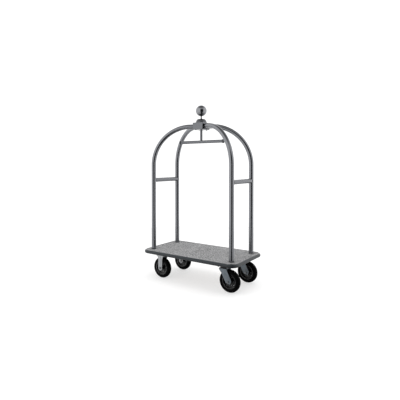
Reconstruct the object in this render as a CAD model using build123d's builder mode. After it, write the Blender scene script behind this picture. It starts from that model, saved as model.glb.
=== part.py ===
"""Hotel luggage cart: carpeted deck on four casters under a crowned cage of arched tubes."""
import os
from math import hypot, sqrt

from build123d import *

# --- Driving dimensions, mm. X runs along the cart, swivel casters at +X; the floor is Z = 0.

# Deck, measured over the edge channel; the bumper stands out beyond it.
deck_length = 1032.0
deck_width = 534.0
deck_corner = 60.0
board_thickness = 15.0
carpet_thickness = 6.0
carpet_groove = 3.5          # gap between the carpet's edge and the edge channel
edge_wall = 4.5
edge_round = 1.35
edge_rise = 1.6              # edge channel above the carpet
edge_drop = 13.0             # edge channel below the board
ledge_width = 12.0
ledge_thickness = 2.5
board_gap = 0.5              # board to edge channel
bumper_depth = 15.0
bumper_lip = 0.5             # flat left on top and underneath, beside the edge channel
bumper_face = 3.0            # flat of the outer face, between the two rounds

# Under-deck frame: open-topped channels over the casters, box tubes elsewhere.
frame_height = 16.7
frame_wall = 2.5
channel_margin = 1.0         # channel beyond each end of a caster's top plate
frame_inset = 42.0           # ends of the channels and post bars, in from the deck's sides
bar_width = 40.0
long_bar_y = 78.0
screw_inset = 60.2           # first and last deck screw from the ends of a long bar
screw_radius = 2.5
screw_head_radius = 5.0
screw_head_depth = 2.5
screw_bite = 6.0             # screw below the board

# Uprights and arches.
post_end_inset = 68.5        # post's centre line from the deck's end
post_side_inset = 75.5       # and from its side
tube_diameter = 45.0
tube_wall = 2.0
crown_run = 106.75           # level run of each tube from the end of its bend to the cart's middle
arch_height = 1502.0         # centre line of the tubes where they meet the hub
crossbar_drop = 148.0        # crossbar below the start of the bends
crossbar_step = 3.0          # crossbar's diameter below the post's
plug_length = 50.0
foot_bolt_radius = 6.0
foot_bolt_reach = 30.0       # threaded hole in the plug
foot_bolt_tip_gap = 2.0
foot_bolt_flats = 19.0
foot_bolt_head = 7.5
grommet_width = 3.5
grommet_rise = 2.0           # grommet above the carpet
carpet_hole_gap = 0.3

# Crown.
hub_length = 118.0
hub_wall = 5.0
hub_side_gap = 9.28          # widest point of the tubes to the hub's side wall
hub_roof = 13.0
hub_plate_thickness = 10.5
hub_round = 4.0
hub_top_round = 3.2
hub_plate_corner = 8.0
hub_plate_round = 3.15
tube_end_gap = 18.0          # from the hub's centre to each tube's end
mitre_gap = 0.25
hub_bolt_end_inset = 29.0
hub_bolt_side_inset = 14.0
hub_bolt_radius = 4.0
hub_bolt_bite = 9.0          # threaded hole in the hub's roof
hub_bolt_tip_gap = 1.0
hub_bolt_flats = 13.0
hub_bolt_head = 5.5
cap_margin = 5.0             # cap in from the hub's ends
cap_taper = 16.0             # radius lost from the cap's foot to its top
cap_bulge = 9.92             # of that, still there at the middle of the cap's curve
cap_height = 34.5
cap_rim = 4.14
cap_bulge_height = 21.39
neck_height = 29.6
neck_waist_height = 16.28
neck_base_radius = 14.0
neck_waist_radius = 6.5
neck_top_radius = 8.0
stud_radius = 5.0
stud_reach = 24.0            # into the ball
ball_radius = 54.0

# Garment rail.
rail_drop = 118.0            # rail's centre line below the hub
rail_half_length = 246.0
rail_diameter = 30.0
rail_wall = 2.0
stem_radius = 13.0
stem_thread_radius = 8.0
stem_nut_height = 10.0
stem_nut_flats = 24.0
stem_thread_tip = 4.0        # thread showing above the nut
rail_cap_flange = 5.0        # cap beyond the rail's surface
rail_cap_thickness = 12.0
rail_cap_round = 6.0
rail_cap_spigot = 14.0

# Casters.
wheel_diameter = 203.2
tyre_width = 50.0
tread_half = 4.0             # flat of the tread, each side of the mid-plane
tread_groove = 1.5
groove_offset = 8.5
sidewall_hollow = 0.8
bead_rise = 5.0
caster_rise = 38.1           # underside of the frame above the wheels
rigid_inset = 164.0          # rigid axle from the deck's left end
swivel_inset = 150.0         # king pin from the deck's right end
trail = 55.0                 # king pin to axle
caster_side_inset = 97.6     # wheel's mid-plane from the deck's side
plate_length = 114.0
plate_width = 102.0
plate_thickness = 4.0
plate_corner = 10.0
plate_bolt_end_inset = 11.0
plate_bolt_side_inset = 17.5
plate_bolt_radius = 4.0
plate_bolt_drop = 19.0       # bolt end below the top plate
plate_bolt_flats = 13.0
plate_bolt_head = 5.5
plate_nut_height = 6.5
nut_gap = 0.5                # plate nuts to the rigid fork's crown
hub_clearance = 6.0          # wheel hub to the inside of a leg
leg_thickness = 5.0
crown_bend = 9.0             # outer radius where a fork's sheet turns down
rigid_leg_width = 48.0
shoulder_top = 16.0          # rigid leg narrows from here below the plate
shoulder_bottom = 50.0       # to here
rib_width = 14.0
rib_height = 1.5
rib_rise = 17.0              # rib's lower end above the axle
rib_drop = 26.0              # rib's upper end below the plate
swivel_crown_rise = 10.8     # top of the swivel forks above the wheels
leg_corner = 4.0
king_pin_radius = 8.0
race_radius = 38.0
race_wall = 3.6
race_lift = 1.0              # race's skirt above the swivel fork's crown
dish_height = 6.0
rivet_radius = 14.0
rivet_tip_radius = 9.8
rivet_height = 7.0
axle_radius = 6.0
axle_flats = 19.0
axle_head = 7.5
axle_nut_height = 10.0
axle_end = 3.0               # thread showing beyond the nut
sleeve_radius = 9.0
running_gap = 0.05
body_gap = 0.3

# Wheel hub and rim, measured from the wheel's mid-plane and its axis.
tyre_depth = 33.6            # tread to the rim's lip
rim_lip_height = 7.0
rim_lip_inset = 4.0          # lip in from the tyre's widest point
rim_disc_half = 4.5
rim_sheet = 3.0
rim_ledge = 3.0              # flat of the seat inside the lip
rim_roll = 1.0               # inner edge of the lip, turned outwards
rim_split = 0.1              # each half's setback from the mid-plane
disc_margin = 9.0            # flat of the disc beyond the bolt circle
hub_tube_radius = 19.0
hub_tube_reach = 3.0         # hub tube beyond the tyre's side
bearing_radius = 15.0
bearing_width = 10.0
rim_bolt_radius = 3.0
rim_bolt_count = 6
rim_bolt_flats = 10.0
rim_bolt_head = 4.0
rim_nut_height = 5.0
rim_bolt_tip = 1.0           # thread showing beyond the nut

# Chamfers of bolts and nuts, as shares of the head, shank radius or nut they are cut on.
head_chamfer = 0.15
tip_chamfer = 0.15
nut_chamfer = 0.12

# --- Levels and places that follow from them.
ends = {"left": -1, "right": 1}
sides = {"front": -1, "rear": 1}


def hex_radius(flats):
    return flats / sqrt(3)


wheel_radius = wheel_diameter / 2
caster_height = wheel_diameter + caster_rise
board_bottom = caster_height + frame_height
board_top = board_bottom + board_thickness
deck_top = board_top + carpet_thickness
edge_bottom = board_bottom - edge_drop
edge_top = deck_top + edge_rise
bumper_round = bumper_depth - bumper_lip
bumper_height = 2 * bumper_round + bumper_face
frame_length = deck_width - 2 * frame_inset
caster_channel_width = plate_length + 2 * channel_margin

post_x = deck_length / 2 - post_end_inset
post_y = deck_width / 2 - post_side_inset
post_reach = hypot(post_x, post_y)
tube_radius = tube_diameter / 2
bore_radius = tube_radius - tube_wall
grommet_radius = tube_radius + grommet_width
crossbar_radius = (tube_diameter - crossbar_step) / 2
bend_radius = post_reach - crown_run
bend_start = arch_height - bend_radius
crossbar_height = bend_start - crossbar_drop

# The hub is as wide as the tubes where they leave its open ends.
hub_floor = arch_height - tube_radius
hub_ceiling = arch_height + tube_radius
hub_top = hub_ceiling + hub_roof
hub_bottom = hub_floor - hub_plate_thickness
hub_spread = (hub_length / 2 * post_y + tube_radius * post_reach) / post_x
hub_width = 2 * (hub_spread + hub_side_gap + hub_wall)
hub_bolt_x = hub_length / 2 - hub_bolt_end_inset
hub_bolt_y = hub_width / 2 - hub_bolt_side_inset
cap_base_radius = hub_length / 2 - cap_margin
cap_top_radius = cap_base_radius - cap_taper
cap_top = hub_top + cap_height
neck_top = cap_top + neck_height
ball_centre = neck_top + sqrt(ball_radius**2 - neck_top_radius**2)
rail_height = hub_bottom - rail_drop
rail_radius = rail_diameter / 2
rail_bore_radius = rail_radius - rail_wall

plate_bottom = caster_height - plate_thickness
plate_bolt_x = plate_length / 2 - plate_bolt_end_inset
plate_bolt_y = plate_width / 2 - plate_bolt_side_inset
rigid_x = rigid_inset - deck_length / 2
swivel_x = deck_length / 2 - swivel_inset
axle_x = swivel_x + trail
caster_y = deck_width / 2 - caster_side_inset
rigid_crown_length = 2 * (plate_bolt_x - hex_radius(plate_bolt_flats) - nut_gap)
hub_tube_half = tyre_width / 2 + hub_tube_reach
fork_gap = hub_tube_half + hub_clearance
leg_outer = fork_gap + leg_thickness
swivel_crown_top = wheel_diameter + swivel_crown_rise
tyre_round = tyre_width / 2 - tread_half
rim_lip_half = tyre_width / 2 - rim_lip_inset
rim_lip_radius = wheel_radius - tyre_depth
rim_seat_radius = rim_lip_radius - rim_lip_height
rim_bolt_circle = (hub_tube_radius + rim_seat_radius) / 2
disc_edge = rim_bolt_circle + disc_margin

post_places = [(x, y) for x in (-post_x, post_x) for y in (-post_y, post_y)]
caster_places = [(x, y) for x in (rigid_x, swivel_x) for y in (-caster_y, caster_y)]

os.makedirs("parts", exist_ok=True)


def save(builder, name):
    """Label a finished piece and write it as its own STEP file."""
    builder.part.label = name
    export_step(builder.part, f"parts/{name}.step")


# --- Deck -----------------------------------------------------------------------------------

with BuildPart() as edge_channel:
    with BuildSketch(Plane.XY.offset(edge_bottom)):
        RectangleRounded(deck_length, deck_width, deck_corner)
        offset(amount=-edge_wall, mode=Mode.SUBTRACT)
    extrude(amount=edge_top - edge_bottom)
    fillet(edge_channel.faces().sort_by(Axis.Z)[-1].edges(), edge_round)
    with BuildSketch(Plane.XY.offset(board_bottom)):
        RectangleRounded(deck_length - 2 * edge_wall, deck_width - 2 * edge_wall, deck_corner - edge_wall)
        offset(amount=-ledge_width, mode=Mode.SUBTRACT)
    extrude(amount=-ledge_thickness)
save(edge_channel, "edge_channel")

with BuildPart() as bumper:
    with BuildSketch(Plane.XY.offset(edge_bottom)):
        RectangleRounded(
            deck_length + 2 * bumper_depth, deck_width + 2 * bumper_depth, deck_corner + bumper_depth
        )
    extrude(amount=bumper_height)
    fillet(bumper.faces().sort_by(Axis.Z)[-1].edges(), bumper_round)
    fillet(bumper.faces().sort_by(Axis.Z)[0].edges(), bumper_round)
    with BuildSketch(Plane.XY.offset(edge_bottom)):
        RectangleRounded(deck_length, deck_width, deck_corner)
    extrude(amount=bumper_height, mode=Mode.SUBTRACT)
save(bumper, "bumper")

board_inset = edge_wall + board_gap
bar_screw_y = (long_bar_y, -long_bar_y)
channel_edge = caster_channel_width / 2
long_bar_ends = (rigid_x + channel_edge, swivel_x - channel_edge)
screw_xs = [long_bar_ends[0] + screw_inset, sum(long_bar_ends) / 2, long_bar_ends[1] - screw_inset]
screw_places = [(x, y) for x in screw_xs for y in bar_screw_y]
screw_places += [(x, y) for x in (-post_x, post_x) for y in bar_screw_y]

with BuildPart() as deck_board:
    with BuildSketch(Plane.XY.offset(board_bottom)):
        RectangleRounded(
            deck_length - 2 * board_inset, deck_width - 2 * board_inset, deck_corner - board_inset
        )
    extrude(amount=board_thickness)
    with Locations(*[(x, y, board_bottom) for x, y in post_places]):
        Cylinder(
            foot_bolt_radius, board_thickness,
            align=(Align.CENTER, Align.CENTER, Align.MIN), mode=Mode.SUBTRACT,
        )
    with Locations(*[(x, y, board_top) for x, y in screw_places]):
        CounterSinkHole(screw_radius, screw_head_radius, depth=board_thickness, counter_sink_angle=90)
save(deck_board, "deck_board")

with BuildPart() as screw:
    Cylinder(screw_radius, board_thickness + screw_bite, align=(Align.CENTER, Align.CENTER, Align.MAX))
    Cone(
        screw_radius, screw_head_radius, screw_head_depth, align=(Align.CENTER, Align.CENTER, Align.MAX)
    )

with BuildPart() as deck_screws:
    with Locations(*[(x, y, board_top) for x, y in screw_places]):
        add(screw.part)
save(deck_screws, "deck_screws")

carpet_inset = edge_wall + carpet_groove

with BuildPart() as carpet:
    with BuildSketch(Plane.XY.offset(board_top)):
        RectangleRounded(
            deck_length - 2 * carpet_inset, deck_width - 2 * carpet_inset, deck_corner - carpet_inset
        )
        with Locations(*post_places):
            Circle(grommet_radius + carpet_hole_gap, mode=Mode.SUBTRACT)
    extrude(amount=carpet_thickness)
save(carpet, "carpet")

# Frame: two open-topped channels carry the casters, box bars join them and carry the posts.
with BuildPart() as caster_channels:
    with BuildSketch(Plane.XZ.offset(-frame_length / 2)):
        for x in (rigid_x, swivel_x):
            with Locations((x, caster_height + frame_height / 2)):
                Rectangle(caster_channel_width, frame_height)
            with Locations((x, caster_height + frame_height / 2 + frame_wall)):
                Rectangle(caster_channel_width - 2 * frame_wall, frame_height, mode=Mode.SUBTRACT)
    extrude(amount=frame_length)
    with Locations(*[(x, y, caster_height) for x, y in caster_places]):
        with GridLocations(2 * plate_bolt_x, 2 * plate_bolt_y, 2, 2):
            Cylinder(plate_bolt_radius, 4 * frame_wall, mode=Mode.SUBTRACT)
save(caster_channels, "caster_channels")

bar_middle = caster_height + frame_height / 2

with BuildPart() as frame_bars:
    with BuildSketch(Plane.XZ.offset(-frame_length / 2)):
        with Locations((-post_x, bar_middle), (post_x, bar_middle)):
            Rectangle(bar_width, frame_height)
            Rectangle(bar_width - 2 * frame_wall, frame_height - 2 * frame_wall, mode=Mode.SUBTRACT)
    extrude(amount=frame_length)
    with BuildSketch(Plane.YZ.offset(long_bar_ends[0])):
        with Locations((-long_bar_y, bar_middle), (long_bar_y, bar_middle)):
            Rectangle(bar_width, frame_height)
            Rectangle(bar_width - 2 * frame_wall, frame_height - 2 * frame_wall, mode=Mode.SUBTRACT)
    extrude(amount=long_bar_ends[1] - long_bar_ends[0])
    with Locations(*[(x, y, bar_middle) for x, y in post_places]):
        Cylinder(foot_bolt_radius, frame_height, mode=Mode.SUBTRACT)
    with Locations(*[(x, y, board_bottom) for x, y in screw_places]):
        Cylinder(screw_radius, 2 * frame_wall, mode=Mode.SUBTRACT)
save(frame_bars, "frame_bars")

# --- Uprights -------------------------------------------------------------------------------

# Each arch rises from the deck, bends inwards along the cart's plan diagonal and ends in the hub.
for end, end_sign in ends.items():
    for side, side_sign in sides.items():
        inwards = Vector(-end_sign * post_x, -side_sign * post_y, 0).normalized()
        foot = Vector(end_sign * post_x, side_sign * post_y, board_top)
        knee = foot + Vector(0, 0, bend_start - board_top)
        shoulder = knee + inwards * bend_radius + Vector(0, 0, bend_radius)
        crown = Vector(0, 0, arch_height)
        halfway = knee + inwards * bend_radius * (1 - sqrt(0.5)) + Vector(0, 0, bend_radius * sqrt(0.5))
        with BuildPart() as arch:
            with BuildLine():
                Line(foot, knee)
                ThreePointArc(knee, halfway, shoulder)
                Line(shoulder, crown)
            with BuildSketch(Plane.XY.offset(board_top)):
                with Locations((foot.X, foot.Y)):
                    Circle(tube_radius)
                    Circle(bore_radius, mode=Mode.SUBTRACT)
            sweep()
            with Locations((0, 0, arch_height)):
                Box(2 * tube_end_gap, 4 * tube_diameter, 2 * tube_diameter, mode=Mode.SUBTRACT)
            with Locations((0, side_sign * (mitre_gap - tube_diameter), arch_height)):
                Box(hub_length + tube_diameter, 2 * tube_diameter, 2 * tube_diameter, mode=Mode.SUBTRACT)
        save(arch, f"arch_tube_{end}_{side}")

for end, end_sign in ends.items():
    with BuildPart() as crossbar:
        with BuildSketch(Plane.XZ.offset(-post_y)):
            with Locations((end_sign * post_x, crossbar_height)):
                Circle(crossbar_radius)
                Circle(crossbar_radius - tube_wall, mode=Mode.SUBTRACT)
        extrude(amount=2 * post_y)
        with Locations(*[(end_sign * post_x, y, crossbar_height) for y in (-post_y, post_y)]):
            Cylinder(tube_radius, 4 * crossbar_radius, mode=Mode.SUBTRACT)
    save(crossbar, f"crossbar_{end}")

with BuildPart() as post_plugs:
    with Locations(*[(x, y, board_top) for x, y in post_places]):
        Cylinder(bore_radius, plug_length, align=(Align.CENTER, Align.CENTER, Align.MIN))
        Cylinder(
            foot_bolt_radius, foot_bolt_reach,
            align=(Align.CENTER, Align.CENTER, Align.MIN), mode=Mode.SUBTRACT,
        )
save(post_plugs, "post_plugs")


def hex_bolt(radius, length, flats, head):
    """A bolt along Z: its head hangs below Z = 0 and its shank rises from there."""
    with BuildPart() as bolt:
        with BuildSketch():
            RegularPolygon(hex_radius(flats), 6)
        extrude(amount=-head)
        chamfer(bolt.faces().sort_by(Axis.Z)[0].edges(), head * head_chamfer)
        with BuildSketch():
            Circle(radius)
        extrude(amount=length)
        chamfer(bolt.faces().sort_by(Axis.Z)[-1].edges(), radius * tip_chamfer)
    return bolt.part


def hex_nut(radius, flats, height):
    """A nut standing on Z = 0."""
    with BuildPart() as nut:
        with BuildSketch():
            RegularPolygon(hex_radius(flats), 6)
            Circle(radius, mode=Mode.SUBTRACT)
        extrude(amount=height)
        chamfer(nut.edges().filter_by(GeomType.LINE).group_by(Axis.Z)[-1], height * nut_chamfer)
    return nut.part


foot_bolt_length = frame_height + board_thickness + foot_bolt_reach - foot_bolt_tip_gap

with BuildPart() as foot_bolts:
    with Locations(*[(x, y, caster_height) for x, y in post_places]):
        add(hex_bolt(foot_bolt_radius, foot_bolt_length, foot_bolt_flats, foot_bolt_head))
save(foot_bolts, "foot_bolts")

# Each grommet lines the carpet's hole and stands a little above the pile.
with BuildPart() as post_grommets:
    with BuildSketch(Plane.XY.offset(board_top)):
        with Locations(*post_places):
            Circle(grommet_radius)
            Circle(tube_radius, mode=Mode.SUBTRACT)
    extrude(amount=carpet_thickness + grommet_rise)
save(post_grommets, "post_grommets")

# --- Crown ----------------------------------------------------------------------------------

hub_bolt_places = [(x, y) for x in (-hub_bolt_x, hub_bolt_x) for y in (-hub_bolt_y, hub_bolt_y)]

with BuildPart() as hub_shell:
    with BuildSketch(Plane.XY.offset(hub_floor)):
        Rectangle(hub_length, hub_width)
    extrude(amount=hub_top - hub_floor)
    fillet(hub_shell.edges().filter_by(Axis.Z), hub_round)
    fillet(hub_shell.faces().sort_by(Axis.Z)[-1].edges(), hub_top_round)
    with BuildSketch(Plane.XY.offset(hub_floor)):
        Rectangle(hub_length, hub_width - 2 * hub_wall)
    extrude(amount=hub_ceiling - hub_floor, mode=Mode.SUBTRACT)
    with Locations(*[(x, y, hub_ceiling) for x, y in hub_bolt_places]):
        Cylinder(
            hub_bolt_radius, hub_bolt_bite,
            align=(Align.CENTER, Align.CENTER, Align.MIN), mode=Mode.SUBTRACT,
        )
    with Locations((0, 0, hub_ceiling)):
        Cylinder(
            stud_radius, hub_roof,
            align=(Align.CENTER, Align.CENTER, Align.MIN), mode=Mode.SUBTRACT,
        )
save(hub_shell, "hub_shell")

with BuildPart() as hub_bottom_plate:
    with BuildSketch(Plane.XY.offset(hub_bottom)):
        RectangleRounded(hub_length, hub_width, hub_plate_corner)
        Circle(stem_thread_radius, mode=Mode.SUBTRACT)
        with Locations(*hub_bolt_places):
            Circle(hub_bolt_radius, mode=Mode.SUBTRACT)
    extrude(amount=hub_plate_thickness)
    fillet(hub_bottom_plate.faces().sort_by(Axis.Z)[0].outer_wire().edges(), hub_plate_round)
save(hub_bottom_plate, "hub_bottom_plate")

hub_bolt_length = hub_ceiling - hub_bottom + hub_bolt_bite - hub_bolt_tip_gap

with BuildPart() as hub_bolts:
    with Locations(*[(x, y, hub_bottom) for x, y in hub_bolt_places]):
        add(hex_bolt(hub_bolt_radius, hub_bolt_length, hub_bolt_flats, hub_bolt_head))
save(hub_bolts, "hub_bolts")

with BuildPart() as hub_cap:
    with BuildSketch(Plane.XZ):
        with BuildLine():
            Polyline(
                (stud_radius, hub_top),
                (cap_base_radius, hub_top),
                (cap_base_radius, hub_top + cap_rim),
            )
            ThreePointArc(
                (cap_base_radius, hub_top + cap_rim),
                (cap_top_radius + cap_bulge, hub_top + cap_bulge_height),
                (cap_top_radius, cap_top),
            )
            Polyline((cap_top_radius, cap_top), (stud_radius, cap_top), (stud_radius, hub_top))
        make_face()
    revolve(axis=Axis.Z)
save(hub_cap, "hub_cap")

with BuildPart() as finial_neck:
    with BuildSketch(Plane.XZ):
        with BuildLine():
            Line((0, cap_top), (neck_base_radius, cap_top))
            Spline(
                (neck_base_radius, cap_top),
                (neck_waist_radius, cap_top + neck_waist_height),
                (neck_top_radius, neck_top),
                tangents=((-1.0, 0.35), (0.5, 1.0)),
            )
            Line((neck_top_radius, neck_top), (0, neck_top))
            Line((0, neck_top), (0, cap_top))
        make_face()
    revolve(axis=Axis.Z)
    with BuildSketch(Plane.XY.offset(hub_ceiling)):
        Circle(stud_radius)
    extrude(amount=neck_top + stud_reach - hub_ceiling)
save(finial_neck, "finial_neck")

with BuildPart() as finial_ball:
    with Locations((0, 0, ball_centre)):
        Sphere(ball_radius)
    with Locations((0, 0, neck_top)):
        Box(
            2 * ball_radius, 2 * ball_radius, ball_radius,
            align=(Align.CENTER, Align.CENTER, Align.MAX), mode=Mode.SUBTRACT,
        )
        Cylinder(
            stud_radius, stud_reach,
            align=(Align.CENTER, Align.CENTER, Align.MIN), mode=Mode.SUBTRACT,
        )
save(finial_ball, "finial_ball")

# --- Garment rail ---------------------------------------------------------------------------

stem_thread_end = hub_floor + stem_nut_height + stem_thread_tip

with BuildPart() as rail_stem:
    with BuildSketch(Plane.XY.offset(rail_height)):
        Circle(stem_radius)
    extrude(amount=hub_bottom - rail_height)
    with BuildSketch(Plane.XY.offset(hub_bottom)):
        Circle(stem_thread_radius)
    extrude(amount=stem_thread_end - hub_bottom)
    with Locations((0, 0, rail_height)):
        Cylinder(rail_radius, 4 * stem_radius, rotation=(0, 90, 0), mode=Mode.SUBTRACT)
save(rail_stem, "rail_stem")

with BuildPart() as rail_stem_nut:
    with Locations((0, 0, hub_floor)):
        add(hex_nut(stem_thread_radius, stem_nut_flats, stem_nut_height))
save(rail_stem_nut, "rail_stem_nut")

with BuildPart() as garment_rail:
    with BuildSketch(Plane.YZ.offset(-rail_half_length)):
        with Locations((0, rail_height)):
            Circle(rail_radius)
            Circle(rail_bore_radius, mode=Mode.SUBTRACT)
    extrude(amount=2 * rail_half_length)
save(garment_rail, "garment_rail")

# Each end cap is a flanged button with a rounded face and a spigot inside the rail.
with BuildPart() as rail_end_cap:
    Cylinder(rail_bore_radius, rail_cap_spigot, align=(Align.CENTER, Align.CENTER, Align.MAX))
    Cylinder(
        rail_radius + rail_cap_flange, rail_cap_thickness, align=(Align.CENTER, Align.CENTER, Align.MIN)
    )
    fillet(rail_end_cap.faces().sort_by(Axis.Z)[-1].edges(), rail_cap_round)

with BuildPart() as rail_end_caps:
    for sign in (-1, 1):
        with Locations(Location((sign * rail_half_length, 0, rail_height), (0, 90 * sign, 0))):
            add(rail_end_cap.part)
save(rail_end_caps, "rail_end_caps")

# --- Caster plates and their bolts ----------------------------------------------------------

channel_floor = caster_height + frame_wall
plate_bolt_length = channel_floor - plate_bottom + plate_bolt_drop

with BuildPart() as caster_bolts:
    for x, y in caster_places:
        with Locations(Location((x, y, channel_floor), (180, 0, 0))):
            with GridLocations(2 * plate_bolt_x, 2 * plate_bolt_y, 2, 2):
                add(hex_bolt(plate_bolt_radius, plate_bolt_length, plate_bolt_flats, plate_bolt_head))
save(caster_bolts, "caster_bolts")

with BuildPart() as caster_nuts:
    for x, y in caster_places:
        with Locations(Location((x, y, plate_bottom), (180, 0, 0))):
            with GridLocations(2 * plate_bolt_x, 2 * plate_bolt_y, 2, 2):
                add(hex_nut(plate_bolt_radius, plate_bolt_flats, plate_nut_height))
save(caster_nuts, "caster_nuts")


def plate_outline(x, y, centre_hole):
    """Rounded top plate with its four bolt holes, drawn on the current sketch plane."""
    with Locations((x, y)):
        RectangleRounded(plate_length, plate_width, plate_corner)
        with GridLocations(2 * plate_bolt_x, 2 * plate_bolt_y, 2, 2):
            Circle(plate_bolt_radius, mode=Mode.SUBTRACT)
        if centre_hole:
            Circle(centre_hole, mode=Mode.SUBTRACT)


# --- Rigid forks ----------------------------------------------------------------------------

rigid_crown_bottom = plate_bottom - leg_thickness
rib_bottom = wheel_radius + rib_rise
rib_top = plate_bottom - rib_drop

for side, side_sign in sides.items():
    y = side_sign * caster_y
    half_leg = rigid_leg_width / 2
    half_crown = rigid_crown_length / 2
    with BuildPart() as rigid_fork:
        with BuildSketch(Plane.XZ.offset(-y - leg_outer)):
            with BuildLine():
                Polyline(
                    (rigid_x - half_leg, wheel_radius),
                    (rigid_x - half_leg, plate_bottom - shoulder_bottom),
                    (rigid_x - half_crown, plate_bottom - shoulder_top),
                    (rigid_x - half_crown, plate_bottom),
                    (rigid_x + half_crown, plate_bottom),
                    (rigid_x + half_crown, plate_bottom - shoulder_top),
                    (rigid_x + half_leg, plate_bottom - shoulder_bottom),
                    (rigid_x + half_leg, wheel_radius),
                )
                ThreePointArc(
                    (rigid_x + half_leg, wheel_radius),
                    (rigid_x, wheel_radius - half_leg),
                    (rigid_x - half_leg, wheel_radius),
                )
            make_face()
        extrude(amount=2 * leg_outer)
        fillet(rigid_fork.edges().filter_by(Axis.X).group_by(Axis.Z)[-1], crown_bend)
        with BuildSketch(Plane.YZ.offset(rigid_x - half_crown)):
            with Locations((y, rigid_crown_bottom)):
                Rectangle(2 * fork_gap, 2 * rigid_crown_bottom, align=(Align.CENTER, Align.MAX))
                fillet(vertices().group_by(Axis.Y)[-1], crown_bend - leg_thickness)
        extrude(amount=rigid_crown_length, mode=Mode.SUBTRACT)
        for face_sign in (-1, 1):
            face_y = y + face_sign * leg_outer
            with BuildSketch(Plane(origin=(rigid_x, face_y, 0), x_dir=(1, 0, 0), z_dir=(0, -1, 0))):
                with Locations((0, (rib_bottom + rib_top) / 2)):
                    SlotOverall(rib_top - rib_bottom, rib_width, rotation=90)
            extrude(amount=-face_sign * rib_height)
        with BuildSketch(Plane.XY.offset(plate_bottom)):
            plate_outline(rigid_x, y, None)
        extrude(amount=plate_thickness)
        with Locations(Location((rigid_x, y, wheel_radius), (90, 0, 0))):
            Cylinder(axle_radius, 4 * leg_outer, mode=Mode.SUBTRACT)
    save(rigid_fork, f"rigid_fork_{side}")

# --- Swivel heads and forks -----------------------------------------------------------------

swivel_crown_bottom = swivel_crown_top - leg_thickness
dish_top = swivel_crown_top + dish_height
race_bottom = dish_top + body_gap
dish_radius = race_radius - race_wall - body_gap
swivel_places = [(swivel_x, y) for y in (-caster_y, caster_y)]

with BuildPart() as swivel_top_plates:
    with BuildSketch(Plane.XY.offset(plate_bottom)):
        for x, y in swivel_places:
            plate_outline(x, y, king_pin_radius)
    extrude(amount=plate_thickness)
save(swivel_top_plates, "swivel_top_plates")

with BuildPart() as swivel_races:
    with BuildSketch(Plane.XY.offset(race_bottom)):
        with Locations(*swivel_places):
            Circle(race_radius)
            Circle(king_pin_radius, mode=Mode.SUBTRACT)
    extrude(amount=plate_bottom - race_bottom)
    with BuildSketch(Plane.XY.offset(race_bottom)):
        with Locations(*swivel_places):
            Circle(race_radius)
            Circle(race_radius - race_wall, mode=Mode.SUBTRACT)
    extrude(amount=race_lift - dish_height)
save(swivel_races, "swivel_races")

rivet_top = swivel_crown_bottom - body_gap

with BuildPart() as king_pins:
    with Locations(*[(x, y, rivet_top) for x, y in swivel_places]):
        Cylinder(
            king_pin_radius, caster_height - rivet_top, align=(Align.CENTER, Align.CENTER, Align.MIN)
        )
        Cone(
            rivet_tip_radius, rivet_radius, rivet_height,
            align=(Align.CENTER, Align.CENTER, Align.MAX),
        )
save(king_pins, "king_pins")

# Corners of a swivel leg, along the cart from the king pin and up from the floor.
leg_corners = [
    (-36.0, swivel_crown_top),
    (-36.0, swivel_crown_top - 10.0),
    (-12.0, swivel_crown_top - 40.0),
    (trail - 22.0, wheel_radius - 9.0),
    (trail + 16.0, wheel_radius - 22.0),
    (trail + 28.0, wheel_radius - 4.0),
    (trail + 33.0, wheel_radius + 12.0),
    (40.0, swivel_crown_top - 10.0),
    (34.0, swivel_crown_top),
]

for side, side_sign in sides.items():
    y = side_sign * caster_y
    with BuildPart() as swivel_fork:
        with BuildSketch(Plane.XZ.offset(-y - leg_outer)):
            with BuildLine():
                Polyline(*[(swivel_x + x, z) for x, z in leg_corners], close=True)
            make_face()
            fillet(vertices().sort_by(Axis.Y)[:-2], leg_corner)
        extrude(amount=2 * leg_outer)
        fillet(swivel_fork.edges().filter_by(Axis.X).group_by(Axis.Z)[-1], crown_bend)
        with BuildSketch(Plane.YZ.offset(swivel_x - trail)):
            with Locations((y, swivel_crown_bottom)):
                Rectangle(2 * fork_gap, 2 * swivel_crown_bottom, align=(Align.CENTER, Align.MAX))
                fillet(vertices().group_by(Axis.Y)[-1], crown_bend - leg_thickness)
        extrude(amount=3 * trail, mode=Mode.SUBTRACT)
        with BuildSketch(Plane.XY.offset(swivel_crown_top)):
            with Locations((swivel_x, y)):
                Circle(dish_radius)
        extrude(amount=dish_height)
        with Locations((swivel_x, y, swivel_crown_top)):
            Cylinder(king_pin_radius + running_gap, 4 * dish_height, mode=Mode.SUBTRACT)
        with Locations(Location((axle_x, y, wheel_radius), (90, 0, 0))):
            Cylinder(axle_radius, 4 * leg_outer, mode=Mode.SUBTRACT)
    save(swivel_fork, f"swivel_fork_{side}")

# --- Axles ----------------------------------------------------------------------------------

axle_bolt_length = 2 * leg_outer + axle_nut_height + axle_end


def axle_parts(x, y, side_sign):
    """Bolt, nut and sleeve of one axle; the nut is on the cart's outer face."""
    facing = -90 * side_sign
    outer = y + side_sign * leg_outer
    inner = y - side_sign * leg_outer
    bolt = Pos(x, inner, wheel_radius) * Rot(facing, 0, 0) * hex_bolt(
        axle_radius, axle_bolt_length, axle_flats, axle_head
    )
    nut = Pos(x, outer, wheel_radius) * Rot(facing, 0, 0) * hex_nut(
        axle_radius, axle_flats, axle_nut_height
    )
    sleeve = Pos(x, y, wheel_radius) * Rot(90, 0, 0) * (
        Cylinder(sleeve_radius, 2 * fork_gap) - Cylinder(axle_radius, 2 * fork_gap)
    )
    return {"bolt": bolt, "nut": nut, "sleeve": sleeve}


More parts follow.
